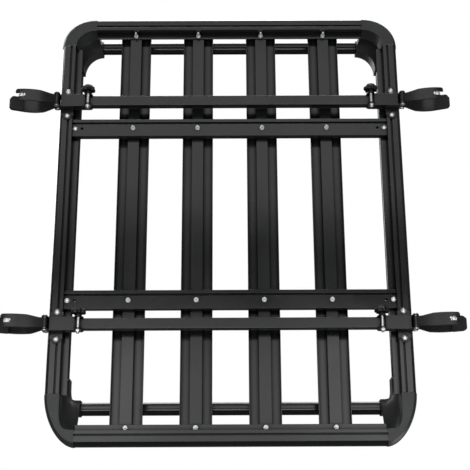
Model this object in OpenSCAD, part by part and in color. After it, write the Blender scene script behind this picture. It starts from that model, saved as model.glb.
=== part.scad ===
// Roof rack: a two-tier tray on its pair of cross bars, with four roof-rail clamps.
// Millimetres, +Z up, +X to the left of the car, -Y to the front of the car.

/* [Tray] */
// overall width of the tray over the side rail bulges
tray_w = 909; // [700:1:1300]
// overall length of the tray over the end rail bulges
tray_l = 1162; // [900:1:1800]
// height of the lower rail undersides above the ground the clamps stand on
rail_z = 62; // [60:1:90]
// height of the upper rail undersides above the lower rail undersides
tier_h = 107; // [80:1:180]
// how far the front upper rail is set back from the lower one
set_back = 92; // [40:1:160]
// how far the upper side rails stand inside the lower ones
side_inset = 10.5; // [8:0.5:40]
// how far the upper rear rail stands inside the lower one
rear_inset = 11; // [8:0.5:40]

/* [Lower rails] */
// height of a lower rail
rail_h = 50; // [40:1:70]
// width of the flat underside of a lower rail
land_w = 27.7; // [24:0.1:40]
// how far the rounded outer side stands out past the underside
bulge = 10; // [5:0.5:14]
// wall of the lower rail extrusion
rail_t = 2.2; // [1.5:0.1:3]
// width of the bolt groove in the underside
groove_w = 5; // [3:0.1:7]
// depth of the bolt groove in the underside
groove_d = 4; // [2:0.1:6]
// distance of the groove from the inner wall
groove_in = 8.7; // [6:0.1:12]
// width of the inner flange that carries the slats
flange_w = 16; // [10:0.5:22]
// thickness of the inner flange
flange_t = 3; // [2:0.1:4]
// height of the flange top above the rail underside
flange_z = 25; // [20:0.5:32]

/* [Upper rails] */
// width and height of an upper rail
top_w = 32; // [24:0.5:40]
// wall of the upper rail extrusion
top_t = 2; // [1.5:0.1:3]
// radius of the inner corners of an upper rail
top_r = 11; // [4:0.5:11]
// width of the groove on the inner side
top_groove_w = 6; // [3:0.1:9]
// depth of the groove on the inner side
top_groove_d = 3.5; // [2:0.1:5]

/* [Corner posts] */
// length of a rear post along the end rail
rear_post_x = 93; // [70:1:120]
// length of a rear post along the side rail
rear_post_y = 86; // [70:1:120]
// length of a rear upper elbow along the end rail
rear_elbow_x = 87; // [60:1:120]
// length of a rear upper elbow along the side rail
rear_elbow_y = 95; // [60:1:120]
// length of a front post along the end rail
front_post_x = 77; // [60:1:100]
// length of a front post along the side rail
front_post_y = 126; // [90:1:160]
// length of a front upper elbow along the end rail
front_elbow_x = 67; // [56:1:110]
// length of a front upper elbow along the side rail
front_elbow_y = 92; // [70:1:120]
// how much a post stands proud of the lower rails
post_lip = 1.2; // [0.5:0.1:2]
// how much a post stands proud of the upper rails
elbow_lip = 4; // [1:0.5:6]
// thickness of a post between the tiers
post_wall = 16; // [8:0.5:24]
// how far the post edges draw in between the tiers, in degrees of its bend
post_waist = 3; // [0:1:30]

/* [Deck] */
// number of slats
slat_n = 4; // [4:1:4]
// width of a slat
slat_w = 80; // [60:1:100]
// distance between slat centre lines
slat_pitch = 170.5; // [120:0.1:220]
// width of the box rib under a slat
rib_w = 30; // [20:1:44]
// height of a slat from rib underside to deck
slat_h = 21; // [16:0.5:30]
// wall of a slat
slat_t = 2; // [1.5:0.1:3]
// depth of the turned-down slat edges
lip_d = 14; // [6:0.5:16]
// height of the grip ribs on the deck
grip_h = 1; // [0.5:0.1:1.5]
// number of grip ribs on a slat
grip_n = 9; // [5:1:15]
// width of a cross member
member_w = 48; // [40:1:60]
// height of a cross member
member_h = 20; // [16:0.5:24]
// wall of a cross member
member_t = 2; // [1.5:0.1:3]
// width of the strip behind the cross member groove
member_strip = 8.5; // [6:0.5:12]
// width of the groove in a cross member
member_groove_w = 6.6; // [4:0.1:8]
// depth of the groove in a cross member
member_groove_d = 5; // [3:0.5:8]
// diameter of the spare hole near each end of a cross member
spare_d = 7; // [5:0.5:8]
// distance of the spare hole inside the inner wall of the side rail
spare_in = 26; // [22:0.5:40]
// distance of the rear cross member behind the middle of the tray
member_rear_y = 253.5; // [180:0.5:270]
// distance of the front cross member ahead of the middle of the tray
member_front_y = 217.6; // [150:0.5:235]

/* [Cross bars] */
// distance of a cross bar end inside the outer side of the tray
bar_short = 14.5; // [12:0.5:80]
// width of a cross bar
bar_w = 28; // [24:0.5:40]
// height of a cross bar
bar_h = 23; // [20:0.5:24]
// wall of a cross bar
bar_t = 2; // [1.5:0.1:3]
// radius of the cross bar edges
bar_r = 3; // [2.2:0.1:5]
// distance of the rear cross bar behind the middle of the tray
bar_rear_y = 319.5; // [310:0.5:350]
// distance of the front cross bar ahead of the middle of the tray
bar_front_y = 286; // [270:0.5:330]

/* [Feet] */
// sheet thickness of a foot
foot_t = 3; // [2.5:0.1:4]
// distance of the hinge line outside the flat underside of the side rail
hinge_out = 10.5; // [10:0.5:16]
// depth of the lower hinge line below the rail underside
hinge_d = 32; // [31:0.5:34]
// depth of the upper jaw pin below the rail underside
arm_d = 7.5; // [7:0.5:9]
// radius of the foot around the lower hinge
hinge_boss_r = 8; // [7:0.5:9]
// distance of the clamp screw inside the hinge line
screw_in = 82; // [78:1:100]
// depth of the clamp screw below the rail underside
screw_d = 31; // [30:0.5:32]
// width of a foot ear along the rail edge
ear_w = 32; // [24:1:38]
// distance between the two ear bolts
ear_pitch = 68; // [62:1:80]
// diameter of the ear bolt holes
ear_hole_d = 7; // [6:0.5:9]

/* [Clamps] */
// diameter of the hinge pins
pin_d = 8; // [6:0.5:8.5]
// width of both jaws between the foot cheeks
neck_w = 24; // [18:0.5:25]
// width of the lower jaw past the foot
lower_w = 32; // [28:0.5:40]
// width of the upper jaw past the foot
upper_w = 34; // [28:0.5:44]
// length over which a jaw widens past the foot
flare = 26; // [8:1:40]
// plate thickness of the jaws
jaw_t = 5; // [4:0.5:6]
// reach of the lower jaw from its hinge
lower_reach = 103; // [80:1:120]
// reach of the upper jaw from its pin
upper_reach = 130; // [110:1:160]
// rise of the upper jaw arch above its pin
upper_rise = 23; // [16:0.5:30]
// width of the fork slot in the lower jaw
fork_w = 11; // [8:0.5:13]
// depth of the fork slot in the lower jaw
fork_l = 20; // [14:1:26]
// how much shorter the front prong of the fork is
prong_cut = 7; // [0:0.5:10]
// width of the rubber pad
pad_w = 38; // [30:0.5:48]
// length of the rubber pad
pad_l = 34; // [24:0.5:36]
// thickness of the rubber pad
pad_t = 9; // [6:0.5:12]
// radius of the outer corners of the rubber pad
pad_r = 10; // [4:0.5:11]
// diameter of a clamp knob
knob_d = 38; // [30:1:46]
// height of a clamp knob
knob_h = 17; // [15:0.5:26]
// diameter of the clamp screw
screw_d_out = 8; // [6:0.5:8.5]

/* [Hidden] */
$fn = 48;
eps = 0.01;
gap = 0.3;
alu = "#3b3c3d";
plastic = "#444546";
zinc = "#b9bcc0";
rubber = "#1e1f20";
// inner walls of the lower rails
in_x = tray_w/2 - bulge - land_w;
in_y = tray_l/2 - bulge - land_w;
// radius and centre of the rounded outer side
bow_r = ((rail_h/2)*(rail_h/2) + bulge*bulge)/(2*bulge);
bow_u = land_w + bulge - bow_r;
// inner sides of the upper rails
top_in_x = tray_w/2 - side_inset - top_w;
top_rear_y = tray_l/2 - rear_inset - top_w;
top_front_y = tray_l/2 - set_back - top_w;
top_z = rail_z + tier_h;
// ends of the rails where the posts begin
rear_end_x = tray_w/2 - rear_post_x;
rear_end_y = tray_l/2 - rear_post_y;
front_end_x = tray_w/2 - front_post_x;
front_end_y = tray_l/2 - front_post_y;
rear_top_x = top_in_x + top_w - rear_elbow_x;
rear_top_y = top_rear_y + top_w - rear_elbow_y;
front_top_x = top_in_x + top_w - front_elbow_x;
front_top_y = top_front_y + top_w - front_elbow_y;
// deck heights
deck_z = rail_z + flange_z;
// clamp lines
hinge_x = in_x + land_w + hinge_out;
hinge_z = rail_z - hinge_d;
arm_z = rail_z - arm_d;
screw_x = hinge_x - screw_in;
screw_z = rail_z - screw_d;
foot_in_x = screw_x - 11;
cheek_y = bar_w/2;
bar_half = tray_w/2 - bar_short;
pin_fit = 0.05;
pin_play = 0.08;
screw_play = 0.3;
wide_out = hinge_boss_r + 6;

// sections

// lower rail: x outwards from the inner wall, y up from the underside
module rail_section() {
  difference() {
    union() {
      square([land_w, rail_h]);
      intersection() {
        translate([bow_u, rail_h/2]) circle(r = bow_r, $fn = 96);
        translate([land_w - 1, 0]) square([bulge + 2, rail_h]);
      }
      translate([-flange_w, flange_z - flange_t]) square([flange_w + 1, flange_t]);
    }
    difference() {
      union() {
        translate([rail_t, rail_t]) square([land_w - rail_t - 1, rail_h - 2*rail_t]);
        intersection() {
          translate([bow_u, rail_h/2]) circle(r = bow_r - rail_t, $fn = 96);
          translate([land_w - rail_t - 2, rail_t + 1]) square([bulge + rail_t + 2, rail_h - 2*rail_t - 2]);
        }
      }
      translate([groove_in - rail_t, 0]) square([groove_w + 2*rail_t, groove_d + rail_t]);
    }
    translate([groove_in, -1]) square([groove_w, groove_d + 1]);
  }
}

// upper rail outline: round outer side, flat inner side with rounded corners
module top_outline(h, c) {
  r = h/2;
  translate([r, r]) circle(r = r, $fn = 96);
  translate([0, c]) square([r, h - 2*c]);
  translate([c, 0]) square([r - c, h]);
  for (y = [c, h - c]) translate([c, y]) circle(r = c, $fn = 64);
}

module top_section() {
  difference() {
    top_outline(top_w, top_r);
    difference() {
      translate([top_t, top_t]) top_outline(top_w - 2*top_t, top_r - top_t);
      translate([0, (top_w - top_groove_w)/2 - top_t])
        square([top_groove_d + top_t, top_groove_w + 2*top_t]);
    }
    translate([-1, (top_w - top_groove_w)/2]) square([top_groove_d + 1, top_groove_w]);
  }
}

// length along Y from y0 to y1, section x outwards to +X
module along_y(y0, y1) {
  translate([0, y1, 0]) rotate([90, 0, 0]) linear_extrude(height = y1 - y0) children();
}

// length along X, centred, section x outwards to +Y
module along_x(half) {
  translate([-half, 0, 0]) rotate([90, 0, 90]) linear_extrude(height = 2*half) children();
}

module side_rail() {
  color(alu) translate([in_x, 0, rail_z]) along_y(-front_end_y, rear_end_y) rail_section();
}

module upper_side_rail() {
  color(alu) translate([top_in_x, 0, top_z]) along_y(-front_top_y, rear_top_y) top_section();
}

module side_rail_left() side_rail();
module side_rail_right() mirror([1, 0, 0]) side_rail();
module upper_side_rail_left() upper_side_rail();
module upper_side_rail_right() mirror([1, 0, 0]) upper_side_rail();

module rear_rail() {
  color(alu) translate([0, in_y, rail_z]) along_x(rear_end_x) rail_section();
}

module front_rail() {
  color(alu) mirror([0, 1, 0]) translate([0, in_y, rail_z]) along_x(front_end_x) rail_section();
}

module upper_rear_rail() {
  color(alu) translate([0, top_rear_y, top_z]) along_x(rear_top_x) top_section();
}

module upper_front_rail() {
  color(alu) mirror([0, 1, 0]) translate([0, top_front_y, top_z]) along_x(front_top_x) top_section();
}

// corner posts

post_n = 14;
low_n = 8;
mid_n = 9;
function ease(t) = t*t*(3 - 2*t);
function mix(a, b, t) = a + (b - a)*t;
function pw(b, e) = b <= 0 ? 0 : pow(b, e);
// levels: [height, lower share 0..1 in the middle, zone]
levels = concat(
  [for (i = [0 : low_n]) [rail_h*i/low_n, 0]],
  [for (i = [1 : mid_n]) [mix(rail_h, tier_h - elbow_lip, i/(mid_n + 1)), i/(mid_n + 1)]],
  [for (i = [0 : low_n]) [tier_h - elbow_lip + (top_w + 2*elbow_lip)*i/low_n, 1]]);
// outward distance of the outer face from the inner wall, lower and upper zone
function low_out(z) = bow_u + sqrt(bow_r*bow_r - (z - rail_h/2)*(z - rail_h/2));
function top_share(z) = 2*(z - tier_h + elbow_lip)/(top_w + 2*elbow_lip) - 1;
function top_out(u) = top_w*(0.5 + 0.36*sqrt(max(0, 1 - u*u)) + 0.14*(1 - abs(u)));
function outer(q, low_in, top_in) =
  q[1] <= 0 ? low_in + low_out(q[0]) + post_lip :
  q[1] >= 1 ? top_in + top_out(top_share(q[0])) + elbow_lip :
  mix(low_in + land_w + post_lip, top_in + top_out(1) + elbow_lip, ease(q[1])) + 6*sin(180*q[1]);
function inner(q, low_in, top_in) =
  q[1] <= 0 ? low_in - post_lip :
  q[1] >= 1 ? top_in - elbow_lip :
  mix(outer(q, low_in, top_in) - post_wall,
    mix(low_in - post_lip, top_in - elbow_lip, q[1]), pow(abs(2*q[1] - 1), 3));
function bend(a, b, n, th) = [a*pw(cos(th), 2/n), b*pw(sin(th), 2/n)];
// one level: outer edge from the side rail to the end rail, then the inner edge back
function ring(q, ex, ey, tx, ty, low_y, top_y, n_out, n_in) =
  let (
    s = ease(min(1, max(0, q[1]))),
    cx = mix(ex, tx, s),
    cy = mix(ey, ty, s),
    w = post_waist*sin(180*min(1, max(0, q[1]))),
    k_in = mix(2, n_in, pow(abs(2*q[1] - 1), 4)),
    ox = outer(q, in_x, top_in_x) - cx,
    oy = outer(q, low_y, top_y) - cy,
    ix = inner(q, in_x, top_in_x) - cx,
    iy = inner(q, low_y, top_y) - cy)
  concat(
    [for (i = [0 : post_n]) let (p = bend(ox, oy, n_out, mix(w, 90 - w, i/post_n))) [cx + p[0], cy + p[1], q[0]]],
    [for (i = [0 : post_n]) let (p = bend(ix, iy, k_in, mix(90 - w, w, i/post_n))) [cx + p[0], cy + p[1], q[0]]]);

module post(ex, ey, tx, ty, low_y, top_y, n_out, n_in) {
  m = 2*post_n + 2;
  k = len(levels);
  pts = [for (q = levels) each ring(q, ex, ey, tx, ty, low_y, top_y, n_out, n_in)];
  faces = concat(
    [[for (i = [m - 1 : -1 : 0]) i]],
    [[for (i = [0 : m - 1]) (k - 1)*m + i]],
    [for (j = [0 : k - 2]) for (i = [0 : m - 1]) [j*m + i, (j + 1)*m + (i + 1) % m, (j + 1)*m + i]],
    [for (j = [0 : k - 2]) for (i = [0 : m - 1]) [j*m + i, j*m + (i + 1) % m, (j + 1)*m + (i + 1) % m]]);
  color(plastic) translate([0, 0, rail_z]) polyhedron(points = pts, faces = faces, convexity = 6);
}

module rear_post() {
  post(rear_end_x, rear_end_y, rear_top_x, rear_top_y, in_y, top_rear_y, 2.15, 2);
}

module front_post() {
  mirror([0, 1, 0]) post(front_end_x, front_end_y, front_top_x, front_top_y, in_y, top_front_y, 1.8, 4.5);
}

module corner_post_rear_left() rear_post();
module corner_post_rear_right() mirror([1, 0, 0]) rear_post();
module corner_post_front_left() front_post();
module corner_post_front_right() mirror([1, 0, 0]) front_post();

// deck

module slat_section() {
  side = (slat_w - rib_w)/2;
  difference() {
    union() {
      translate([-rib_w/2, 0]) square([rib_w, slat_h]);
      translate([-slat_w/2, slat_h - slat_t]) square([slat_w, slat_t]);
      for (s = [-1, 1]) translate([s*(slat_w/2 - slat_t/2) - slat_t/2, slat_h - lip_d]) square([slat_t, lip_d]);
      for (i = [0 : grip_n - 1])
        translate([(i - (grip_n - 1)/2)*slat_w/(grip_n + 0.6) - 1, slat_h - eps]) square([2, grip_h + eps]);
    }
    translate([-rib_w/2 + slat_t, slat_t]) square([rib_w - 2*slat_t, slat_h - 2*slat_t]);
  }
}

module slat(k) {
  color(alu) translate([(k - (slat_n + 1)/2)*slat_pitch, 0, deck_z])
    along_y(-in_y + gap, in_y - gap) slat_section();
}

module deck_slat_1() slat(4);
module deck_slat_2() slat(3);
module deck_slat_3() slat(2);
module deck_slat_4() slat(1);

// section: x rearwards from the front edge, y up from the underside
module member_section() {
  g = member_w - member_strip - member_groove_w;
  difference() {
    square([member_w, member_h]);
    difference() {
      translate([member_t, member_t]) square([member_w - 2*member_t, member_h - 2*member_t]);
      translate([g - member_t, 0]) square([member_groove_w + 2*member_t, member_groove_d + member_t]);
    }
    translate([g, -1]) square([member_groove_w, member_groove_d + 1]);
  }
}

module member(y) {
  color(alu) difference() {
    translate([0, y - member_w/2, deck_z - member_h]) along_x(in_x - gap) member_section();
    for (s = [-1, 1])
      translate([s*(in_x - flange_w/2) - flange_w/2 - gap, y - member_w/2 - 1, deck_z - flange_t])
        cube([flange_w + 2*gap, member_w + 2, flange_t + 1]);
    for (s = [-1, 1])
      translate([s*(in_x - spare_in), y - 2, deck_z - member_h - 1]) cylinder(d = spare_d, h = member_h + 2);
  }
}

module cross_member_rear() member(member_rear_y);
module cross_member_front() member(-member_front_y);

// cross bars

module round_box(w, h, r) {
  translate([r, 0]) square([w - 2*r, h]);
  translate([0, r]) square([w, h - 2*r]);
  for (x = [r, w - r]) for (y = [r, h - r]) translate([x, y]) circle(r = r, $fn = 32);
}

module bar(y) {
  color(alu) translate([0, y - bar_w/2, rail_z - bar_h]) along_x(bar_half) difference() {
    round_box(bar_w, bar_h, bar_r);
    translate([bar_t, bar_t]) round_box(bar_w - 2*bar_t, bar_h - 2*bar_t, bar_r - bar_t);
  }
}

module cross_bar_rear() bar(bar_rear_y);
module cross_bar_front() bar(-bar_front_y);

// feet

// one cheek plate seen from the side: x outwards, y up
module cheek_shape() {
  difference() {
    union() {
      translate([foot_in_x, rail_z - bar_h - foot_t]) square([hinge_x + hinge_boss_r - foot_in_x, bar_h + foot_t]);
      translate([hinge_x, hinge_z]) circle(r = hinge_boss_r);
      translate([hinge_x - hinge_boss_r, hinge_z]) square([2*hinge_boss_r, hinge_d - bar_h]);
      translate([screw_x, screw_z - 1]) circle(r = 9);
      translate([screw_x - 9, screw_z - 1]) square([18, screw_d - bar_h + 1]);
    }
    translate([hinge_x, hinge_z]) circle(d = pin_d + 2*pin_fit);
    translate([hinge_x, arm_z]) circle(d = pin_d - 2);
    translate([screw_x, screw_z]) circle(d = screw_d_out + 2*screw_play);
    translate([foot_in_x - 1, rail_z - 8]) rotate(-38) translate([-20, 0]) square([20, 30]);
  }
}

module foot() {
  ear_x = in_x + land_w/2;
  color(alu) difference() {
    union() {
      for (s = [-1, 1])
        translate([0, s*(cheek_y + foot_t/2) + foot_t/2, 0]) rotate([90, 0, 0])
          linear_extrude(height = foot_t) cheek_shape();
      translate([foot_in_x + 20, -cheek_y - foot_t/2, rail_z - bar_h - foot_t])
        cube([hinge_x - foot_in_x - 30, 2*cheek_y + foot_t, foot_t]);
      for (s = [-1, 1]) {
        translate([ear_x - ear_w/2, s > 0 ? cheek_y : -ear_pitch/2, rail_z - foot_t])
          cube([ear_w, ear_pitch/2 - cheek_y, foot_t]);
        translate([ear_x, s*ear_pitch/2, rail_z - foot_t]) cylinder(d = ear_w - 10, h = foot_t);
        translate([ear_x - ear_w/2, s > 0 ? ear_pitch/2 - 6 : -ear_pitch/2, rail_z - foot_t])
          cube([ear_w, 6, foot_t]);
      }
    }
    for (s = [-1, 1])
      translate([ear_x, s*ear_pitch/2, rail_z - foot_t - 1]) cylinder(d = ear_hole_d, h = foot_t + 2);
  }
}

// jaws

jaw_n = 18;
// lower jaw line, measured from the hinge
low_drop = hinge_z - jaw_t/2;
function low_line(t) = [hinge_x + lower_reach*t, hinge_z - low_drop*sin(112*t)];
// upper jaw line, measured from the pin, straight over the pad
arch_end = 1 - pad_l/upper_reach;
function arch(t) = [hinge_x + upper_reach*t, arm_z + upper_rise*sin(180*t) - 3*t];
arch_slope = atan((upper_rise*PI*cos(180*arch_end) - 3)/upper_reach);
arch_tip = [hinge_x + upper_reach, arch(arch_end)[1] + pad_l*tan(arch_slope)];
function unit(v) = v/norm(v);
function side_of(a, b, h) = let (d = unit(b - a)) [-d[1]*h, d[0]*h];

// a bent plate seen from the side
module strap(p, h) {
  n = len(p) - 1;
  up = [for (i = [0 : n]) p[i] + side_of(p[max(0, i - 1)], p[min(n, i + 1)], h)];
  dn = [for (i = [n : -1 : 0]) p[i] - side_of(p[max(0, i - 1)], p[min(n, i + 1)], h)];
  polygon(concat(up, dn));
}

module plate_along(w) {
  translate([0, w/2, 0]) rotate([90, 0, 0]) linear_extrude(height = w) children();
}

// plan outline of a jaw: narrow neck, then full width with rounded end corners
module jaw_plan(reach, w, r) {
  x0 = hinge_x - 10;
  xw = hinge_x + wide_out;
  xe = hinge_x + reach;
  translate([x0, -neck_w/2]) square([xw + flare - x0, neck_w]);
  polygon([[xw, -neck_w/2], [xw + flare, -w/2], [xw + flare, w/2], [xw, neck_w/2]]);
  translate([xw + flare - 1, -w/2]) square([xe - r - xw - flare + 1, w]);
  translate([xe - r - 1, -w/2 + r]) square([r + 1, w - 2*r]);
  for (s = [-1, 1]) translate([xe - r, s*(w/2 - r)]) circle(r = r);
}

module lower_jaw() {
  p = [for (i = [0 : jaw_n]) low_line(i/jaw_n)];
  fork_x = hinge_x + lower_reach - fork_l;
  color(alu) difference() {
    union() {
      intersection() {
        plate_along(lower_w + 2) strap(p, jaw_t/2);
        translate([0, 0, -10]) linear_extrude(height = rail_z + 20) jaw_plan(lower_reach, lower_w, 6);
      }
      translate([hinge_x, neck_w/2, hinge_z]) rotate([90, 0, 0]) cylinder(r = hinge_boss_r - 1.5, h = neck_w);
    }
    translate([hinge_x, neck_w/2 + 1, hinge_z]) rotate([90, 0, 0]) cylinder(d = pin_d + 2*pin_play, h = neck_w + 2);
    translate([fork_x, -fork_w/2, -10]) cube([fork_l + 5, fork_w, rail_z]);
    translate([fork_x, 0, -10]) cylinder(d = fork_w, h = rail_z);
    translate([hinge_x + lower_reach - prong_cut, -lower_w/2 - 1, -10]) cube([prong_cut + 1, lower_w/2, rail_z]);
  }
}

module upper_jaw() {
  p = concat([for (i = [0 : jaw_n]) arch(arch_end*i/jaw_n)], [arch_tip]);
  color(alu) difference() {
    union() {
      intersection() {
        plate_along(upper_w + 2) strap(p, jaw_t/2);
        translate([0, 0, 0]) linear_extrude(height = top_z) jaw_plan(upper_reach, upper_w, 8);
      }
      translate([hinge_x, cheek_y, arm_z]) rotate([90, 0, 0]) cylinder(r = pin_d/2 + 2.5, h = 2*cheek_y);
    }
    translate([hinge_x, cheek_y + 1, arm_z]) rotate([90, 0, 0]) cylinder(d = pin_d - 2, h = 2*cheek_y + 2);
  }
}

// rubber pad under the straight outer part of the upper jaw
module jaw_pad() {
  o = arch(arch_end);
  color(rubber) translate([o[0], 0, o[1]]) rotate([0, -arch_slope, 0]) translate([1.5, 0, -jaw_t/2 - pad_t])
    linear_extrude(height = pad_t) {
      translate([0, -pad_w/2]) square([pad_l - pad_r, pad_w]);
      translate([pad_l - pad_r - 1, -pad_w/2 + pad_r]) square([pad_r + 1, pad_w - 2*pad_r]);
      for (s = [-1, 1]) translate([pad_l - pad_r, s*(pad_w/2 - pad_r)]) circle(r = pad_r);
    }
}

module hinge_pin() {
  h = 2*(cheek_y + foot_t);
  color(zinc) translate([hinge_x, h/2, hinge_z]) rotate([90, 0, 0]) {
    cylinder(d = pin_d, h = h);
    translate([0, 0, h]) cylinder(d = pin_d + 4, h = 2.5);
    translate([0, 0, -2.5]) cylinder(d = pin_d + 3, h = 2.5);
  }
}

knob_y = cheek_y + foot_t;
knob_seat = 5;

module clamp_screw() {
  color(zinc) translate([screw_x, 0, screw_z]) rotate([-90, 0, 0]) {
    translate([0, 0, -knob_y - 10]) cylinder(d = screw_d_out, h = 2*knob_y + knob_seat + 18);
    translate([0, 0, -knob_y - 6.5]) cylinder(d = screw_d_out*1.8, h = 6.5, $fn = 6);
  }
}

module clamp_knob() {
  lobes = 7;
  color(plastic) translate([screw_x, knob_y, screw_z]) rotate([-90, 0, 0]) difference() {
    union() {
      cylinder(d = knob_d*0.44, h = knob_seat + 2);
      translate([0, 0, knob_seat]) cylinder(d = knob_d*0.84, h = knob_h - 6);
      translate([0, 0, knob_seat]) cylinder(d = knob_d*0.66, h = knob_h);
      for (i = [0 : lobes - 1]) rotate(i*360/lobes) translate([knob_d*0.38, 0, knob_seat + 1])
        cylinder(d = knob_d*0.24, h = knob_h - 6);
    }
    translate([0, 0, -1]) cylinder(d = screw_d_out + 0.1, h = knob_seat + 9.2);
  }
}

// the four clamps

module at_rear_left() translate([0, bar_rear_y, 0]) children();
module at_rear_right() mirror([1, 0, 0]) translate([0, bar_rear_y, 0]) children();
module at_front_left() translate([0, -bar_front_y, 0]) children();
module at_front_right() mirror([1, 0, 0]) translate([0, -bar_front_y, 0]) children();

module foot_front_left() at_front_left() foot();
module foot_front_right() at_front_right() foot();
module foot_rear_left() at_rear_left() foot();
module foot_rear_right() at_rear_right() foot();
module upper_jaw_front_left() at_front_left() upper_jaw();
module upper_jaw_front_right() at_front_right() upper_jaw();
module upper_jaw_rear_left() at_rear_left() upper_jaw();
module upper_jaw_rear_right() at_rear_right() upper_jaw();
module jaw_pad_front_left() at_front_left() jaw_pad();
module jaw_pad_front_right() at_front_right() jaw_pad();
module jaw_pad_rear_left() at_rear_left() jaw_pad();
module jaw_pad_rear_right() at_rear_right() jaw_pad();
module lower_jaw_front_left() at_front_left() lower_jaw();
module lower_jaw_front_right() at_front_right() lower_jaw();
module lower_jaw_rear_left() at_rear_left() lower_jaw();
module lower_jaw_rear_right() at_rear_right() lower_jaw();
module hinge_pin_front_left() at_front_left() hinge_pin();
module hinge_pin_front_right() at_front_right() hinge_pin();
module hinge_pin_rear_left() at_rear_left() hinge_pin();
module hinge_pin_rear_right() at_rear_right() hinge_pin();
module clamp_screw_front_left() at_front_left() clamp_screw();
module clamp_screw_front_right() at_front_right() clamp_screw();
module clamp_screw_rear_left() at_rear_left() clamp_screw();
module clamp_screw_rear_right() at_rear_right() clamp_screw();
module clamp_knob_front_left() at_front_left() clamp_knob();
module clamp_knob_front_right() at_front_right() clamp_knob();
module clamp_knob_rear_left() at_rear_left() clamp_knob();
module clamp_knob_rear_right() at_rear_right() clamp_knob();

side_rail_left();
side_rail_right();
front_rail();
rear_rail();
upper_side_rail_left();
upper_side_rail_right();
upper_front_rail();
upper_rear_rail();
corner_post_front_left();
corner_post_front_right();
corner_post_rear_left();
corner_post_rear_right();
deck_slat_1();
deck_slat_2();
deck_slat_3();
deck_slat_4();
cross_member_front();
cross_member_rear();
cross_bar_front();
cross_bar_rear();
foot_front_left();
foot_front_right();
foot_rear_left();
foot_rear_right();
upper_jaw_front_left();
upper_jaw_front_right();
upper_jaw_rear_left();
upper_jaw_rear_right();
jaw_pad_front_left();
jaw_pad_front_right();
jaw_pad_rear_left();
jaw_pad_rear_right();
lower_jaw_front_left();
lower_jaw_front_right();
lower_jaw_rear_left();
lower_jaw_rear_right();
hinge_pin_front_left();
hinge_pin_front_right();
hinge_pin_rear_left();
hinge_pin_rear_right();
clamp_screw_front_left();
clamp_screw_front_right();
clamp_screw_rear_left();
clamp_screw_rear_right();
clamp_knob_front_left();
clamp_knob_front_right();
clamp_knob_rear_left();
clamp_knob_rear_right();
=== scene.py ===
# %% [markdown]
# A roof rack tray on its pair of cross bars, seen from below.
# The solid model comes in as a fixed frame: every rail, slat, foot and jaw is already at its real
# size and place, in metres. This lesson dresses it: finishes for every surface, smooth corner
# mouldings, and the bolts, washers and rivets that hold the real one together.

# %% Load the frame
import math

import bpy
from mathutils import Matrix, Vector


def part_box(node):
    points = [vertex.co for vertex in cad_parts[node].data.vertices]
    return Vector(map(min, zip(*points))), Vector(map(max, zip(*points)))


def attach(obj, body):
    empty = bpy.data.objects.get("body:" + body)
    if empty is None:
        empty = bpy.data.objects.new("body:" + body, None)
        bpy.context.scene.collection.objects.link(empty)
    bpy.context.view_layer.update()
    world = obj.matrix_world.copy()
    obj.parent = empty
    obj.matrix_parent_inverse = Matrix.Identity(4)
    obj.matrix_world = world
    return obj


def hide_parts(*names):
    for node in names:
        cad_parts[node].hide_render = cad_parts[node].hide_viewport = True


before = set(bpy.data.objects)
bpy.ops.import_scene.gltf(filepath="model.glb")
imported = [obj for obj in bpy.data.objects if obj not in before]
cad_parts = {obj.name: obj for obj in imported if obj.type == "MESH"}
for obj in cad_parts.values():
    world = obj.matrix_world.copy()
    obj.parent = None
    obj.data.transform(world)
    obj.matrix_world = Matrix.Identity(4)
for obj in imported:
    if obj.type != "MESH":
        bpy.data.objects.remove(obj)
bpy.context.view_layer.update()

# %% [markdown]
# Lengths on a drawing are in millimetres, and Blender works in metres, so one constant turns one
# into the other. The places of the pieces are not typed in again: they are read from the boxes of
# the solid pieces, so a changed drawing carries its bolts along.

# %% Places taken from the frame
MM = 0.001
ENDS = ("front", "rear")
SIDES = ("left", "right")
SIGN = {"left": 1, "right": -1}
PLACES = [(end, side) for end in ENDS for side in SIDES]


def centre(node):
    lo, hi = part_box(node)
    return (lo + hi) / 2


def outline(node):
    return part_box(node)


RAIL_Z = outline("side_rail_left")[0].z
BAR_Y = {end: centre("cross_bar_" + end).y for end in ENDS}
SCREW_X = centre("clamp_screw_rear_left").x
SCREW_Z = centre("clamp_screw_rear_left").z
PIN_X = centre("hinge_pin_rear_left").x
print("rail underside", round(RAIL_Z, 4), "bars", BAR_Y, "pin", round(PIN_X, 4))

# %% [markdown]
# Colours are written as sRGB hex, the way a paint chart gives them. The shader wants linear light,
# so one function converts them. A second small function adds any shader node with its settings and
# links, each under the name or the number of its socket; with it a material reads as a list of what
# it is made of.

# %% Colour and node helpers
def rgb(hex_colour):
    values = [int(hex_colour[i:i + 2], 16) / 255 for i in (1, 3, 5)]
    linear = [v / 12.92 if v <= 0.04045 else ((v + 0.055) / 1.055) ** 2.4 for v in values]
    return (*linear, 1.0)


def add(tree, kind, settings=None, links=None):
    node = tree.nodes.new(kind)
    for key, value in (settings or {}).items():
        if isinstance(key, int) or key in node.inputs:
            node.inputs[key].default_value = value
        else:
            setattr(node, key, value)
    for key, source in (links or {}).items():
        tree.links.new(source, node.inputs[key])
    return node


def new_material(name):
    material = bpy.data.materials.new(name)
    material.use_nodes = True
    material.node_tree.nodes.clear()
    return material, material.node_tree


# %% [markdown]
# A few steps come back in most finishes: a value moved from one range to another, a value times a
# number, a colour made darker, one colour blended into another, and soft noise of a size given in
# millimetres.

# %% Values, colours and noise
def remap(tree, value, old, new):
    node = add(tree, "ShaderNodeMapRange",
               {"From Min": old[0], "From Max": old[1], "To Min": new[0], "To Max": new[1]},
               {"Value": value})
    return node.outputs["Result"]


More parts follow.
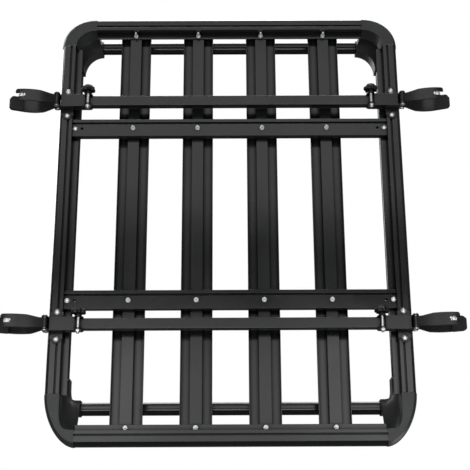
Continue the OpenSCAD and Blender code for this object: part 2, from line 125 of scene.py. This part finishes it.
def times(tree, number, value):
    node = add(tree, "ShaderNodeMath", {"operation": "MULTIPLY", 0: number}, {1: value})
    return node.outputs["Value"]


def scaled(tree, colour, factor):
    node = add(tree, "ShaderNodeVectorMath", {"operation": "SCALE"}, {0: colour, "Scale": factor})
    return node.outputs["Vector"]


def blend(tree, colour, other, share):
    node = add(tree, "ShaderNodeMix", {"data_type": "RGBA", "A": rgb(colour), "B": rgb(other)},
               {"Factor": share})
    return node.outputs["Result"]


def noise(tree, place, size_mm, detail):
    node = add(tree, "ShaderNodeTexNoise", {"Scale": 1 / (size_mm * MM), "Detail": detail},
               {"Vector": place.outputs["Object"]})
    return node.outputs["Fac"]


# %% [markdown]
# Real sheet and extrusions never have knife edges: they are rounded by half a millimetre or so, and
# that rounding catches a thin line of light. The bevel node rounds the shading normal without
# touching the mesh. Where the rounded normal turns away from the flat one there is an edge, and the
# same measure tells the paint where it is polished.

# %% Rounded edges
def rounded_normal(tree, radius_mm):
    return add(tree, "ShaderNodeBevel", {"samples": 6, "Radius": radius_mm * MM}).outputs["Normal"]


def edge_wear(tree, rounded):
    flat = add(tree, "ShaderNodeNewGeometry")
    match = add(tree, "ShaderNodeVectorMath", {"operation": "DOT_PRODUCT"},
                {0: rounded, 1: flat.outputs["Normal"]})
    return remap(tree, match.outputs["Value"], (0.97, 0.75), (0, 1))


# %% [markdown]
# Inner corners and grooves see little of the room, so they are given painted shade: their colour is
# darkened and their shine dimmed. How much of the room a point sees within a given reach is measured
# by the ambient occlusion node, and it scales both the colour and the shine.

# %% Painted shade in inner corners
def painted_corner_shade(tree, reach_mm):
    seen = add(tree, "ShaderNodeAmbientOcclusion", {"samples": 8, "Distance": reach_mm * MM})
    return remap(tree, seen.outputs["AO"], (0.35, 0.92), (0.06, 1))


# %% [markdown]
# Powder coat is a plastic film baked on metal. Dry powder melts into a skin about 0.08 mm thick that
# never flows quite flat: it keeps a soft orange peel with waves about 2 mm long and a fine tooth on
# top. That breaks up the highlights, so the black reads as a dark satin grey. The film thins and
# polishes along sharp edges, where it looks a little lighter.

# %% Powder coat
def powder_coat(name, colour, edge_colour, roughness, peel_mm=2.2, tooth_mm=0.5, cloud_mm=130):
    material, tree = new_material(name)
    place = add(tree, "ShaderNodeTexCoord")
    rounded = rounded_normal(tree, 1.2)
    peel = add(tree, "ShaderNodeBump", {"Strength": 0.10, "Distance": 0.3 * MM},
               {"Height": noise(tree, place, peel_mm, 2), "Normal": rounded})
    tooth = add(tree, "ShaderNodeBump", {"Strength": 0.12, "Distance": 0.1 * MM},
                {"Height": noise(tree, place, tooth_mm, 1), "Normal": peel.outputs["Normal"]})
    shade = blend(tree, colour, edge_colour, edge_wear(tree, rounded))
    rough = remap(tree, noise(tree, place, cloud_mm, 3), (0.3, 0.7),
                  (roughness - 0.04, roughness + 0.05))
    # Painted shade: colour and shine are darkened in inner corners and grooves.
    painted_shade = painted_corner_shade(tree, 14)
    coat = add(tree, "ShaderNodeBsdfPrincipled", {},
               {"Base Color": scaled(tree, shade, painted_shade), "Roughness": rough,
                "Specular IOR Level": times(tree, 0.5, painted_shade),
                "Normal": tooth.outputs["Normal"]})
    add(tree, "ShaderNodeOutputMaterial", {}, {"Surface": coat.outputs["BSDF"]})
    return material


RAIL_COAT = powder_coat("powder_coated_aluminium", "#1a1b1c", "#242628", 0.16)
BAR_COAT = powder_coat("powder_coated_bar", "#1f2021", "#3c3e40", 0.24)
STEEL_COAT = powder_coat("powder_coated_steel", "#1c1d1e", "#46484b", 0.26, peel_mm=1.6)
print("three powder coats, for rails, bars and steel")


# %% [markdown]
# The corner pieces and knobs are injection moulded from a glass filled plastic. The mould is spark
# eroded, which leaves a fine even grain of under a millimetre, so the part is matt and a shade
# lighter than the paint beside it. A corner piece curls round its own shadow, so its painted shade
# reaches far.

# %% Moulded plastic
def moulded(name, colour, roughness, grain_mm=0.7, depth=0.25, reach_mm=60, cloud_mm=60):
    material, tree = new_material(name)
    place = add(tree, "ShaderNodeTexCoord")
    rounded = rounded_normal(tree, 0.6)
    grain = add(tree, "ShaderNodeTexVoronoi", {"Scale": 1 / (grain_mm * MM)},
                {"Vector": place.outputs["Object"]})
    tint = remap(tree, noise(tree, place, cloud_mm, 3), (0.3, 0.7), (0.9, 1.1))
    shade = add(tree, "ShaderNodeVectorMath", {"operation": "MULTIPLY", 0: rgb(colour)[:3]},
                {1: tint})
    bump = add(tree, "ShaderNodeBump", {"Strength": depth, "Distance": 0.15 * MM},
               {"Height": grain.outputs["Distance"], "Normal": rounded})
    rough = remap(tree, edge_wear(tree, rounded), (0, 1), (roughness, roughness - 0.08))
    # Painted shade: colour and shine are darkened in inner corners and hollows.
    painted_shade = painted_corner_shade(tree, reach_mm)
    plastic = add(tree, "ShaderNodeBsdfPrincipled", {},
                  {"Base Color": scaled(tree, shade.outputs["Vector"], painted_shade),
                   "Roughness": rough, "Specular IOR Level": times(tree, 0.45, painted_shade),
                   "Normal": bump.outputs["Normal"]})
    add(tree, "ShaderNodeOutputMaterial", {}, {"Surface": plastic.outputs["BSDF"]})
    return material


# The painted shade reaches 170 mm in the corner pieces and darkens their inner walls.
POST_PLASTIC = moulded("grained_nylon", "#3c3d3e", 0.42, reach_mm=170)
KNOB_PLASTIC = moulded("knob_nylon", "#1b1c1d", 0.42, grain_mm=0.9)
print("two plastics, for corner posts and knobs")


# %% [markdown]
# Zinc plated steel is a bright, slightly blue metal with a faint cloudy spangle. EPDM rubber is
# matt black with a dry bloom, and it takes a coarser grain from its mould.

# %% Zinc and rubber
def zinc_plate(name, spangle_mm=6):
    material, tree = new_material(name)
    place = add(tree, "ShaderNodeTexCoord")
    spangle = noise(tree, place, spangle_mm, 4)
    shade = blend(tree, "#e6e8ea", "#fafafa", spangle)
    metal = add(tree, "ShaderNodeBsdfPrincipled", {"Metallic": 1.0},
                {"Base Color": shade, "Normal": rounded_normal(tree, 0.3),
                 "Roughness": remap(tree, spangle, (0, 1), (0.3, 0.48))})
    add(tree, "ShaderNodeOutputMaterial", {}, {"Surface": metal.outputs["BSDF"]})
    return material


ZINC = zinc_plate("zinc_plated_steel")
RUBBER = moulded("epdm_rubber", "#1f2021", 0.7, grain_mm=1.1, depth=0.5)
print("zinc for fasteners, rubber for the jaw pads")

# %% [markdown]
# Every solid piece keeps its own mesh and takes its finish by its name. What is named in no row of
# the list is an extrusion, and gets the rail coat.

# %% Finishes on the solid pieces
FINISH = {"foot_": STEEL_COAT, "upper_jaw": STEEL_COAT, "lower_jaw": STEEL_COAT, "jaw_pad": RUBBER,
          "hinge_pin": ZINC, "clamp_screw": ZINC, "clamp_knob": KNOB_PLASTIC, "cross_bar": BAR_COAT,
          "corner_post": POST_PLASTIC}
for name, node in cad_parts.items():
    finish = next((m for start, m in FINISH.items() if name.startswith(start)), RAIL_COAT)
    node.data.materials.clear()
    node.data.materials.append(finish)
print("finished", len(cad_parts), "solid pieces")


# %% [markdown]
# New pieces all end the same way: they get a mesh, a finish and the body they move with. Edges
# flatter than 35 degrees are shaded smooth. Most of them are a stack of closed loops with as many
# points each, so one function gives their faces: a cap at either end and bands between. A stack that
# is mirrored has its faces turned back outwards.

# %% From points to a piece
def piece(name, points, faces, finish, body="rack"):
    mesh = bpy.data.meshes.new(name)
    mesh.from_pydata(points, [], faces)
    mesh.shade_smooth()
    mesh.set_sharp_from_angle(angle=math.radians(35))
    obj = bpy.data.objects.new(name, mesh)
    bpy.context.scene.collection.objects.link(obj)
    obj.data.materials.append(finish)
    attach(obj, body)
    return obj


def stack_faces(loops, count, mirrored=False):
    faces = [tuple(reversed(range(count))), tuple(range((loops - 1) * count, loops * count))]
    for j in range(loops - 1):
        for k in range(count):
            a, b = j * count + k, j * count + (k + 1) % count
            faces.append((a, b, b + count, a + count))
    return [tuple(reversed(face)) for face in faces] if mirrored else faces


# %% [markdown]
# A corner moulding caps the lower rails, rises as a thin curved wall, and ends in an elbow sleeved
# over the upper rails. Each level is a loop: an outer curve from the side rail round to the end
# rail, and an inner one back. Both are superellipses; a low power gives a swept corner and a high
# one a square corner. The solid model draws the loop with 30 points on 27 levels, and here the same
# loop is drawn finely so that its outline is smooth.
#
# The land is the flat underside of a lower rail and the bulge is its rounded outer side. The lips
# are how far the moulding stands out over the rails.

# %% Sizes of the corner mouldings
LAND = 27.7 * MM
BULGE = 10 * MM
LOWER_LIP = 1.2 * MM
ELBOW_LIP = 4 * MM
WALL = 16 * MM
SWELL = 6 * MM
DRAW_IN_DEGREES = 3
side_lo, side_hi = outline("side_rail_left")
top_lo, top_hi = outline("upper_side_rail_left")
RAIL_H = side_hi.z - side_lo.z
TIER = top_lo.z - side_lo.z
TOP_W = top_hi.x - top_lo.x
BOW_R = ((RAIL_H / 2) ** 2 + BULGE ** 2) / (2 * BULGE)
CORNER = {
    "rear": {"low": (side_hi.x - LAND - BULGE, outline("rear_rail")[1].y - LAND - BULGE),
             "top": (top_lo.x, outline("upper_rear_rail")[0].y),
             "low_end": (outline("rear_rail")[1].x, side_hi.y),
             "top_end": (outline("upper_rear_rail")[1].x, top_hi.y),
             "outer_power": 2.15, "inner_power": 2, "y": 1},
    "front": {"low": (side_hi.x - LAND - BULGE, -outline("front_rail")[0].y - LAND - BULGE),
              "top": (top_lo.x, -outline("upper_front_rail")[1].y),
              "low_end": (outline("front_rail")[1].x, -side_lo.y),
              "top_end": (outline("upper_front_rail")[1].x, -top_lo.y),
              "outer_power": 1.8, "inner_power": 4.5, "y": -1}}
print("corners cap rails", round(RAIL_H, 3), "high; upper rails start at", round(TIER, 3))


# %% [markdown]
# Two curves say how far the skins stand out at a height z over the rail's underside. The rise is 0
# on the cap, runs to 1 up the wall, and stays 1 on the elbow.

# %% Reach of the outer and inner skins
def mix(a, b, share):
    return a + (b - a) * share


def eased(rise):
    return rise * rise * (3 - 2 * rise)


def lower_reach(z):
    return LAND + BULGE - BOW_R + math.sqrt(BOW_R ** 2 - (z - RAIL_H / 2) ** 2)


def elbow_reach(z):
    u = min(1, max(-1, 2 * (z - TIER + ELBOW_LIP) / (TOP_W + 2 * ELBOW_LIP) - 1))
    return TOP_W * (0.5 + 0.36 * math.sqrt(1 - u * u) + 0.14 * (1 - abs(u)))


def outer(z, rise, low, top):
    if rise <= 0:
        return low + lower_reach(z) + LOWER_LIP
    if rise >= 1:
        return top + elbow_reach(z) + ELBOW_LIP
    straight = mix(low + LAND + LOWER_LIP, top + 0.5 * TOP_W + ELBOW_LIP, eased(rise))
    return straight + SWELL * math.sin(math.pi * rise)


def inner(z, rise, low, top):
    if rise <= 0:
        return low - LOWER_LIP
    if rise >= 1:
        return top - ELBOW_LIP
    thin = outer(z, rise, low, top) - WALL
    return mix(thin, mix(low - LOWER_LIP, top - ELBOW_LIP, rise), abs(2 * rise - 1) ** 3)


# %% One corner loop
def arc(reach_x, reach_y, power, degrees):
    c = max(0, math.cos(math.radians(degrees)))
    s = max(0, math.sin(math.radians(degrees)))
    return reach_x * c ** (2 / power), reach_y * s ** (2 / power)


def corner_loop(z, rise, size, steps=40):
    cx = mix(size["low_end"][0], size["top_end"][0], eased(rise))
    cy = mix(size["low_end"][1], size["top_end"][1], eased(rise))
    edge = DRAW_IN_DEGREES * math.sin(math.pi * rise)
    inner_power = mix(2, size["inner_power"], abs(2 * rise - 1) ** 4)
    skins = ((outer, size["outer_power"], edge, 90 - edge), (inner, inner_power, 90 - edge, edge))
    loop = []
    for skin, power, start, stop in skins:
        reach_x = skin(z, rise, size["low"][0], size["top"][0]) - cx
        reach_y = skin(z, rise, size["low"][1], size["top"][1]) - cy
        for k in range(steps + 1):
            x, y = arc(reach_x, reach_y, power, mix(start, stop, k / steps))
            loop.append((cx + x, cy + y, RAIL_Z + z))
    return loop


# %% [markdown]
# The levels run up through three zones: the cap on the lower rails, the wall between the tiers, and
# the elbow. In the elbow they crowd at its top and bottom, where its section changes fastest.

# %% The four corner mouldings
CAP_STEPS, WALL_STEPS, ELBOW_STEPS = 20, 26, 22


def corner_levels():
    elbow_z, elbow_h = TIER - ELBOW_LIP, TOP_W + 2 * ELBOW_LIP
    cap = [(RAIL_H * k / CAP_STEPS, 0) for k in range(CAP_STEPS + 1)]
    wall = [(mix(RAIL_H, elbow_z, k / WALL_STEPS), k / WALL_STEPS) for k in range(1, WALL_STEPS)]
    turns = [math.pi * k / ELBOW_STEPS for k in range(ELBOW_STEPS + 1)]
    return cap + wall + [(elbow_z + elbow_h * (1 - math.cos(turn)) / 2, 1) for turn in turns]


def corner_post(end, side):
    size = CORNER[end]
    flip_x, flip_y = SIGN[side], size["y"]
    loops = [corner_loop(z, rise, size) for z, rise in corner_levels()]
    points = [(x * flip_x, y * flip_y, z) for loop in loops for x, y, z in loop]
    faces = stack_faces(len(loops), len(loops[0]), mirrored=flip_x * flip_y < 0)
    name = f"corner_post_{end}_{side}"
    post = piece("smooth_" + name, points, faces, POST_PLASTIC)
    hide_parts(name)
    return post


for end, side in PLACES:
    post = corner_post(end, side)
print("each corner moulding has", len(post.data.polygons), "faces")


# %% [markdown]
# Everything on a lathe is a stack of rings, each with a height and a radius in millimetres. Two
# extras make fasteners and knobs of it: a ring can be cut by a hexagon of a given width across its
# flats, and it can have lobes of a given depth. Cutting the chamfered ring of a nut by the hexagon
# gives the curved corners that a real nut has.

# %% Turned pieces
LOBES = 7


def turned(name, rings, origin, axis, finish, body="rack", sides=48):
    points = []
    stand = Vector((0, 0, 1)).rotation_difference(Vector(axis))
    for ring in rings:
        height, radius, flats, lobe = (*ring, 0, 0)[:4]
        for k in range(sides):
            turn = 2 * math.pi * k / sides
            reach = radius - lobe * (0.5 - 0.5 * math.cos(LOBES * turn))
            if flats:
                reach = min(reach, flats / 2 / math.cos(turn % (math.pi / 3) - math.pi / 6))
            local = Vector((reach * math.cos(turn), reach * math.sin(turn), height)) * MM
            points.append(Vector(origin) + stand @ local)
    return piece(name, points, stack_faces(len(rings), sides), finish, body)


def thread(start, stop, radius, pitch=1.0, depth=0.4):
    rings = []
    turns = max(1, round((stop - start) / pitch))
    for k in range(turns):
        foot = start + (stop - start) * k / turns
        rings += [(foot, radius - depth), (foot + 0.45 * pitch, radius),
                  (foot + 0.55 * pitch, radius)]
    return rings + [(stop, radius - depth), (stop + 0.4, radius - 1.2 * depth - 0.4)]


def washer(radius, thick=1.2, chamfer=0.2):
    return [(0, radius - chamfer), (chamfer, radius), (thick - chamfer, radius),
            (thick, radius - chamfer)]


def nut(start, height, flats, chamfer=0.45):
    corner = flats / 2 / math.cos(math.pi / 6)
    rim = flats / 2 - 0.1
    return [(start, rim, flats), (start + chamfer, corner, flats),
            (start + height - chamfer, corner, flats), (start + height, rim, flats)]


# %% [markdown]
# M6 bolts hold the slats down: their tails point down through the end flanges and the cross members,
# with a washer and a hex nut. The tails are longer at the rear flange, as in the photograph. The
# member ends and the feet are held by hex heads. The sizes are the usual ones: 10 mm across the
# flats, nut 5 mm high, head 3.6 mm high with a low dome, washer 12 mm wide. The end flanges lie
# 22 mm over the undersides of the rails, and the ears of the feet hang 3 mm under them.

# %% Bolts under the tray
def nut_and_tail(tail):
    return washer(6) + nut(1.2, 5, 10) + thread(6.2, 6.2 + tail, 3)


HEX_HEAD = washer(6.2) + nut(1.2, 3.6, 10) + [(5.2, 4.2), (5.6, 3.4), (6.0, 2.2), (6.15, 1.0)]
TAIL = {"front": 5, "rear": 13}
MEMBER_TAIL = 7
DOWN = (0, 0, -1)
SLAT_X = [centre(f"deck_slat_{k}").x for k in (1, 2, 3, 4)]
FLANGE_Z = RAIL_Z + 22 * MM
EAR_Z = RAIL_Z - 3 * MM
INSIDE_WALL = 8 * MM
ROW_BEFORE_MIDDLE = 2 * MM
EAR_BOLT = 34 * MM
bolts = []


def bolt(name, rings, origin, axis=DOWN, body="rack"):
    bolts.append(turned(name, rings, origin, axis, ZINC, body))


for end in ENDS:
    flange_y = CORNER[end]["y"] * (CORNER[end]["low"][1] - INSIDE_WALL)
    member = "cross_member_" + end
    row_y = centre(member).y - ROW_BEFORE_MIDDLE
    under = outline(member)[0].z
    for k, x in enumerate(SLAT_X, 1):
        bolt(f"slat_end_nut_{end}_{k}", nut_and_tail(TAIL[end]), (x, flange_y, FLANGE_Z))
        bolt(f"slat_member_nut_{end}_{k}", nut_and_tail(MEMBER_TAIL), (x, row_y, under))
    for side in SIDES:
        wall_x = CORNER[end]["low"][0]
        end_x, ear_x = SIGN[side] * (wall_x - INSIDE_WALL), SIGN[side] * (wall_x + LAND / 2)
        bolt(f"member_end_bolt_{end}_{side}", HEX_HEAD, (end_x, row_y, under))
        for part, way in (("a", 1), ("b", -1)):
            spot = (ear_x, BAR_Y[end] + way * EAR_BOLT, EAR_Z)
            bolt(f"ear_bolt_{end}_{side}_{part}", HEX_HEAD, spot)
print(len(bolts), "bolts and nuts")

# %% [markdown]
# Each foot carries a rivet in both cheeks, 17 mm out from its middle, on which the upper jaw sits.
# A nut on a short bolt sits in the fork, 15 mm in from the tip of the lower jaw, with its flats along
# the slot, and moves with it.

# %% Rivets and fork nuts
RIVET = [(0, 5.4), (0.5, 5.6), (1.2, 5.3), (1.9, 4.4), (2.4, 3.0), (2.6, 1.2)]
FORK_NUT = nut(0.3, 4.7, 10) + [(5.2, 7.3), (5.4, 7.5), (6.2, 7.5), (6.4, 7.3)] + thread(6.4, 12, 3)
RIVET_Z = RAIL_Z - 7.5 * MM
CHEEK = 17
FORK = 15 * MM
for end, side in PLACES:
    for part, way in (("a", 1), ("b", -1)):
        spot = (SIGN[side] * PIN_X, BAR_Y[end] + way * CHEEK * MM, RIVET_Z)
        bolt(f"arm_rivet_{end}_{side}_{part}", RIVET, spot, (0, way, 0))
    jaw = f"lower_jaw_{end}_{side}"
    tip = max(abs(v.x) for v in outline(jaw))
    spot = (SIGN[side] * (tip - FORK), BAR_Y[end], 0)
    bolt(f"fork_nut_{end}_{side}", FORK_NUT, spot, (0, 0, 1), jaw)
print(len(bolts), "fasteners with rivets and fork nuts")

# %% [markdown]
# The clamp screw is an M8 bolt across the foot, below the bar: a nut at the front cheek, a bare
# shank, and a thread that the knob runs on.

# %% Clamp screws
M8 = {"radius": 4, "pitch": 1.25, "depth": 0.6}
SCREW = [(-CHEEK - 10, 2.8)] + thread(-CHEEK - 9.6, -CHEEK - 6.9, **M8)[:-1]
SCREW += nut(-CHEEK - 6.5, 5.3, 13)
SCREW += [(-CHEEK - 1.2, 7.0), (-CHEEK - 1.0, 7.2), (-CHEEK - 0.2, 7.2), (-CHEEK, 7.0)]
SCREW += [(-CHEEK, 3.9), (6, 3.9)] + thread(6.4, CHEEK + 12.4, **M8)
for end, side in PLACES:
    name = f"clamp_screw_{end}_{side}"
    spot = (SIGN[side] * SCREW_X, BAR_Y[end], SCREW_Z)
    screw = turned("threaded_" + name, SCREW, spot, (0, 1, 0), ZINC)
    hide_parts(name)
print("each clamp screw has", len(screw.data.polygons), "faces")

# %% [markdown]
# The knob is a moulding with seven lobes: a hub against the foot, a grip with rounded shoulders, and
# a raised boss round the end of the screw.

# %% Knobs
KNOB = [(0, 7.6), (0.5, 8.2), (4.6, 8.2), (5.0, 9.0), (5.1, 12.5, 0, 0.8), (5.4, 16.6, 0, 3.0),
        (6.2, 18.2, 0, 3.6), (7.4, 18.9, 0, 3.8), (10.5, 19.0, 0, 3.8), (13.4, 18.7, 0, 3.8),
        (15.2, 17.9, 0, 3.4), (16.4, 16.3, 0, 2.6), (17.0, 13.9, 0, 1.4), (17.3, 12.6, 0, 0.3),
        (19.6, 12.0), (21.2, 11.2), (21.9, 9.8), (22.0, 8.0), (21.9, 6.2), (21.0, 5.6), (20.4, 5.2)]
KNOB_SIDES = 16 * LOBES
for end, side in PLACES:
    name = f"clamp_knob_{end}_{side}"
    spot = (SIGN[side] * SCREW_X, BAR_Y[end] + CHEEK * MM, SCREW_Z)
    knob = turned("lobed_" + name, KNOB, spot, (0, 1, 0), KNOB_PLASTIC, name,
                  KNOB_SIDES)
    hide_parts(name)
print("each knob has", len(knob.data.polygons), "faces")

# %% [markdown]
# A moulded plug closes each end of the cross bar tube, between the cheeks of the foot. Its face is
# dished, with a rounded rim that stands 2 mm outside the tube. Each row of the list is one loop: how
# far it stands out of the tube, and how far inside the tube's outline it runs.

# %% Tube plugs
PLUG = ((0.0, 0.2), (0.4, 0.1), (1.5, 0.1), (2.0, 0.6), (2.0, 2.6), (1.3, 3.4))
PLUG_SIDES = 48
SQUARE_POWER = 8


def plug(end, side):
    lo, hi = outline("cross_bar_" + end)
    middle, half = (lo + hi) / 2, (hi - lo) / 2
    points = []
    for out, inset in PLUG:
        for k in range(PLUG_SIDES):
            turn = 2 * math.pi * k / PLUG_SIDES
            y, z = (math.copysign(abs(v) ** (2 / SQUARE_POWER), v)
                    for v in (math.cos(turn), math.sin(turn)))
            points.append((SIGN[side] * (hi.x + out * MM), middle.y + y * (half.y - inset * MM),
                           middle.z + z * (half.z - inset * MM)))
    faces = stack_faces(len(PLUG), PLUG_SIDES, mirrored=SIGN[side] < 0)
    return piece(f"tube_plug_{end}_{side}", points, faces, POST_PLASTIC)


plugs = [plug(end, side) for end, side in PLACES]
print(len(plugs), "tube plugs")

# %% [markdown]
# The photograph is taken from under the tray, square to the car and tipped 19 degrees. The distance
# of 2.6 m and the 81.5 mm lens come from how much the far end of the tray narrows. The tray lies
# turned by half a degree, and the camera is rolled by a quarter of a degree.

# %% Camera
TIP = math.radians(19.0)
YAW = Matrix.Rotation(math.radians(0.52), 3, "Z")
ROLL = math.radians(0.27)
CAMERA_X, CAMERA_Y = -0.0045, -0.933
CAMERA_BELOW_RAILS = 2.565
camera = bpy.data.objects.new("camera", bpy.data.cameras.new("camera"))
bpy.context.scene.collection.objects.link(camera)
level_right = YAW @ Vector((-1, 0, 0))
level_up = YAW @ Vector((0, math.cos(TIP), -math.sin(TIP)))
camera_right = level_right * math.cos(ROLL) + level_up * math.sin(ROLL)
camera_up = level_up * math.cos(ROLL) - level_right * math.sin(ROLL)
camera_back = camera_right.cross(camera_up)
camera.matrix_world = Matrix((camera_right, camera_up, camera_back)).transposed().to_4x4()
camera.location = (CAMERA_X, CAMERA_Y, RAIL_Z - CAMERA_BELOW_RAILS)
camera.data.sensor_width = 36
camera.data.lens = 81.5
bpy.context.scene.camera = camera
print("camera", [round(v, 3) for v in camera.location])


# %% [markdown]
# A satin coat shows the lamps more than its own colour, so each lamp is placed by the band it draws.
# A flat underside mirrors what lies straight below: wide boxes there draw the pale ends of the slats
# and leave the middle dark. A box behind, at the height of the tray, is mirrored only by edges and
# rounded sides that turn to the rear, and draws their thin bright lines. The boxes above stand aside
# of the lines that upright walls mirror, which keeps those walls as dark as in the photograph. The
# last number of a lamp is the brightness of its face, so a larger box gives more light.

# %% Lamps
def soft_box(name, place, target, size, brightness):
    lamp = bpy.data.objects.new(name, bpy.data.lights.new(name, "AREA"))
    bpy.context.scene.collection.objects.link(lamp)
    lamp.data.shape = "RECTANGLE"
    lamp.data.size, lamp.data.size_y = size
    lamp.data.energy = brightness * math.pi * size[0] * size[1]
    lamp.location = place
    lamp.rotation_mode = "QUATERNION"
    lamp.rotation_quaternion = (Vector(target) - Vector(place)).to_track_quat("-Z", "Y")
    return lamp


TRAY = (0, 0, 0.1)
soft_box("box_above", (1.9, 1.5, 2.8), TRAY, (1.8, 1.6), 4.0)
soft_box("box_front", (-3.0, -3.0, 1.6), TRAY, (2.4, 1.8), 3.0)
soft_box("box_side", (3.2, 3.4, 1.6), TRAY, (2.4, 1.8), 3.0)
soft_box("box_rear", (0, 3.5, 0.6), TRAY, (2.8, 2.2), 8.0)
soft_box("box_rear_high", (0, 2.8, 2.3), TRAY, (3.4, 1.2), 4.5)
soft_box("box_below_rear", (0.25, 1.55, -2.5), (0.25, 1.5, 0.1), (2.5, 1.2), 1.05)
soft_box("box_below_front", (0, -0.05, -2.6), (0, -0.05, 0.1), (3.4, 0.92), 1.35)
soft_box("box_below_left", (1.0, 0.03, -2.58), (1.0, 0.03, 0.1), (1.2, 0.76), 0.7)
soft_box("box_below_right", (-1.0, 0.03, -2.58), (-1.0, 0.03, 0.1), (1.2, 0.76), 0.7)
soft_box("box_by_camera", (0, -1.75, -2.6), (0, -1.75, 0.1), (3.0, 1.3), 3.2)
print(len(bpy.data.lights), "soft boxes")

# %% [markdown]
# The camera looks straight at a white backdrop. The black coat mirrors that backdrop only faintly,
# with a dim room around it: pale below and almost black at eye level and above. Without this the
# upright walls, which are seen at a glancing angle, would turn white.

# %% Room
BACKDROP_MIRRORED = 0.06
ROOM = ((0.0, 0.15), (0.25, 0.05), (0.5, 0.01), (0.7, 0.02), (1.0, 0.01))
world = bpy.data.worlds.new("white_studio")
bpy.context.scene.world = world
world.use_nodes = True
tree = world.node_tree
tree.nodes.clear()
ray = add(tree, "ShaderNodeLightPath")
direct = add(tree, "ShaderNodeMath", {"operation": "MAXIMUM"},
             {0: ray.outputs["Is Camera Ray"], 1: ray.outputs["Is Transmission Ray"]})
mirrored = times(tree, BACKDROP_MIRRORED, ray.outputs["Is Glossy Ray"])
seen = add(tree, "ShaderNodeMath", {"operation": "MAXIMUM"},
           {0: direct.outputs["Value"], 1: mirrored})
way = add(tree, "ShaderNodeTexCoord")
way_xyz = add(tree, "ShaderNodeSeparateXYZ", {}, {"Vector": way.outputs["Generated"]})
height = remap(tree, way_xyz.outputs["Z"], (-1, 1), (0, 1))
ramp = add(tree, "ShaderNodeValToRGB", {}, {"Fac": height})
stops = ramp.color_ramp.elements
for spot, level in ROOM:
    stop = stops.new(spot) if 0 < spot < 1 else stops[0 if spot == 0 else -1]
    stop.color = (level, level, level, 1)
room = add(tree, "ShaderNodeBackground", {"Strength": 1.0}, {"Color": ramp.outputs["Color"]})
white = add(tree, "ShaderNodeBackground", {"Color": rgb("#ffffff"), "Strength": 1.0})
both = add(tree, "ShaderNodeMixShader", {},
           {"Fac": seen.outputs["Value"], 1: room.outputs["Background"],
            2: white.outputs["Background"]})
add(tree, "ShaderNodeOutputWorld", {}, {"Surface": both.outputs["Shader"]})
print("room of", len(ROOM), "levels behind a white backdrop")


# %% [markdown]
# The floor is pale and lit from within a little, like a light table, so that it stays pale under the
# part, and it fades to the white of the backdrop a few metres out. Seen from below it is clear,
# because the photograph looks up through it.

# %% Floor
FLOOR = 6.0
GLOW_SHARE = 0.65
FADE = (1.0, 4.0)


def pale_floor():
    material, tree = new_material("pale_floor")
    paper = add(tree, "ShaderNodeBsdfDiffuse", {"Color": rgb("#f4f4f4")})
    backlit = add(tree, "ShaderNodeEmission", {"Color": rgb("#ffffff"), "Strength": 1.1})
    table = add(tree, "ShaderNodeMixShader", {"Fac": GLOW_SHARE},
                {1: paper.outputs["BSDF"], 2: backlit.outputs["Emission"]})
    place = add(tree, "ShaderNodeTexCoord")
    distance = add(tree, "ShaderNodeVectorMath", {"operation": "LENGTH"},
                   {0: place.outputs["Object"]})
    white = add(tree, "ShaderNodeEmission", {"Color": rgb("#ffffff"), "Strength": 1.0})
    faded = add(tree, "ShaderNodeMixShader", {},
                {"Fac": remap(tree, distance.outputs["Value"], FADE, (0, 1)),
                 1: table.outputs["Shader"], 2: white.outputs["Emission"]})
    clear = add(tree, "ShaderNodeBsdfTransparent")
    facing = add(tree, "ShaderNodeNewGeometry")
    sheet = add(tree, "ShaderNodeMixShader", {},
                {"Fac": facing.outputs["Backfacing"], 1: faded.outputs["Shader"],
                 2: clear.outputs["BSDF"]})
    add(tree, "ShaderNodeOutputMaterial", {}, {"Surface": sheet.outputs["Shader"]})
    return material


floor_mesh = bpy.data.meshes.new("floor")
corners = [(-FLOOR, -FLOOR, 0), (FLOOR, -FLOOR, 0), (FLOOR, FLOOR, 0), (-FLOOR, FLOOR, 0)]
floor_mesh.from_pydata(corners, [], [(0, 1, 2, 3)])
floor = bpy.data.objects.new("floor", floor_mesh)
bpy.context.scene.collection.objects.link(floor)
floor.data.materials.append(pale_floor())
floor.visible_shadow = False
floor.visible_glossy = False
floor.visible_diffuse = False
print("floor", 2 * FLOOR, "m wide")

# %% [markdown]
# Blender's newer default view transform dims whites; Standard shows a colour as it is written.

# %% View transform
bpy.context.scene.view_settings.view_transform = "Standard"
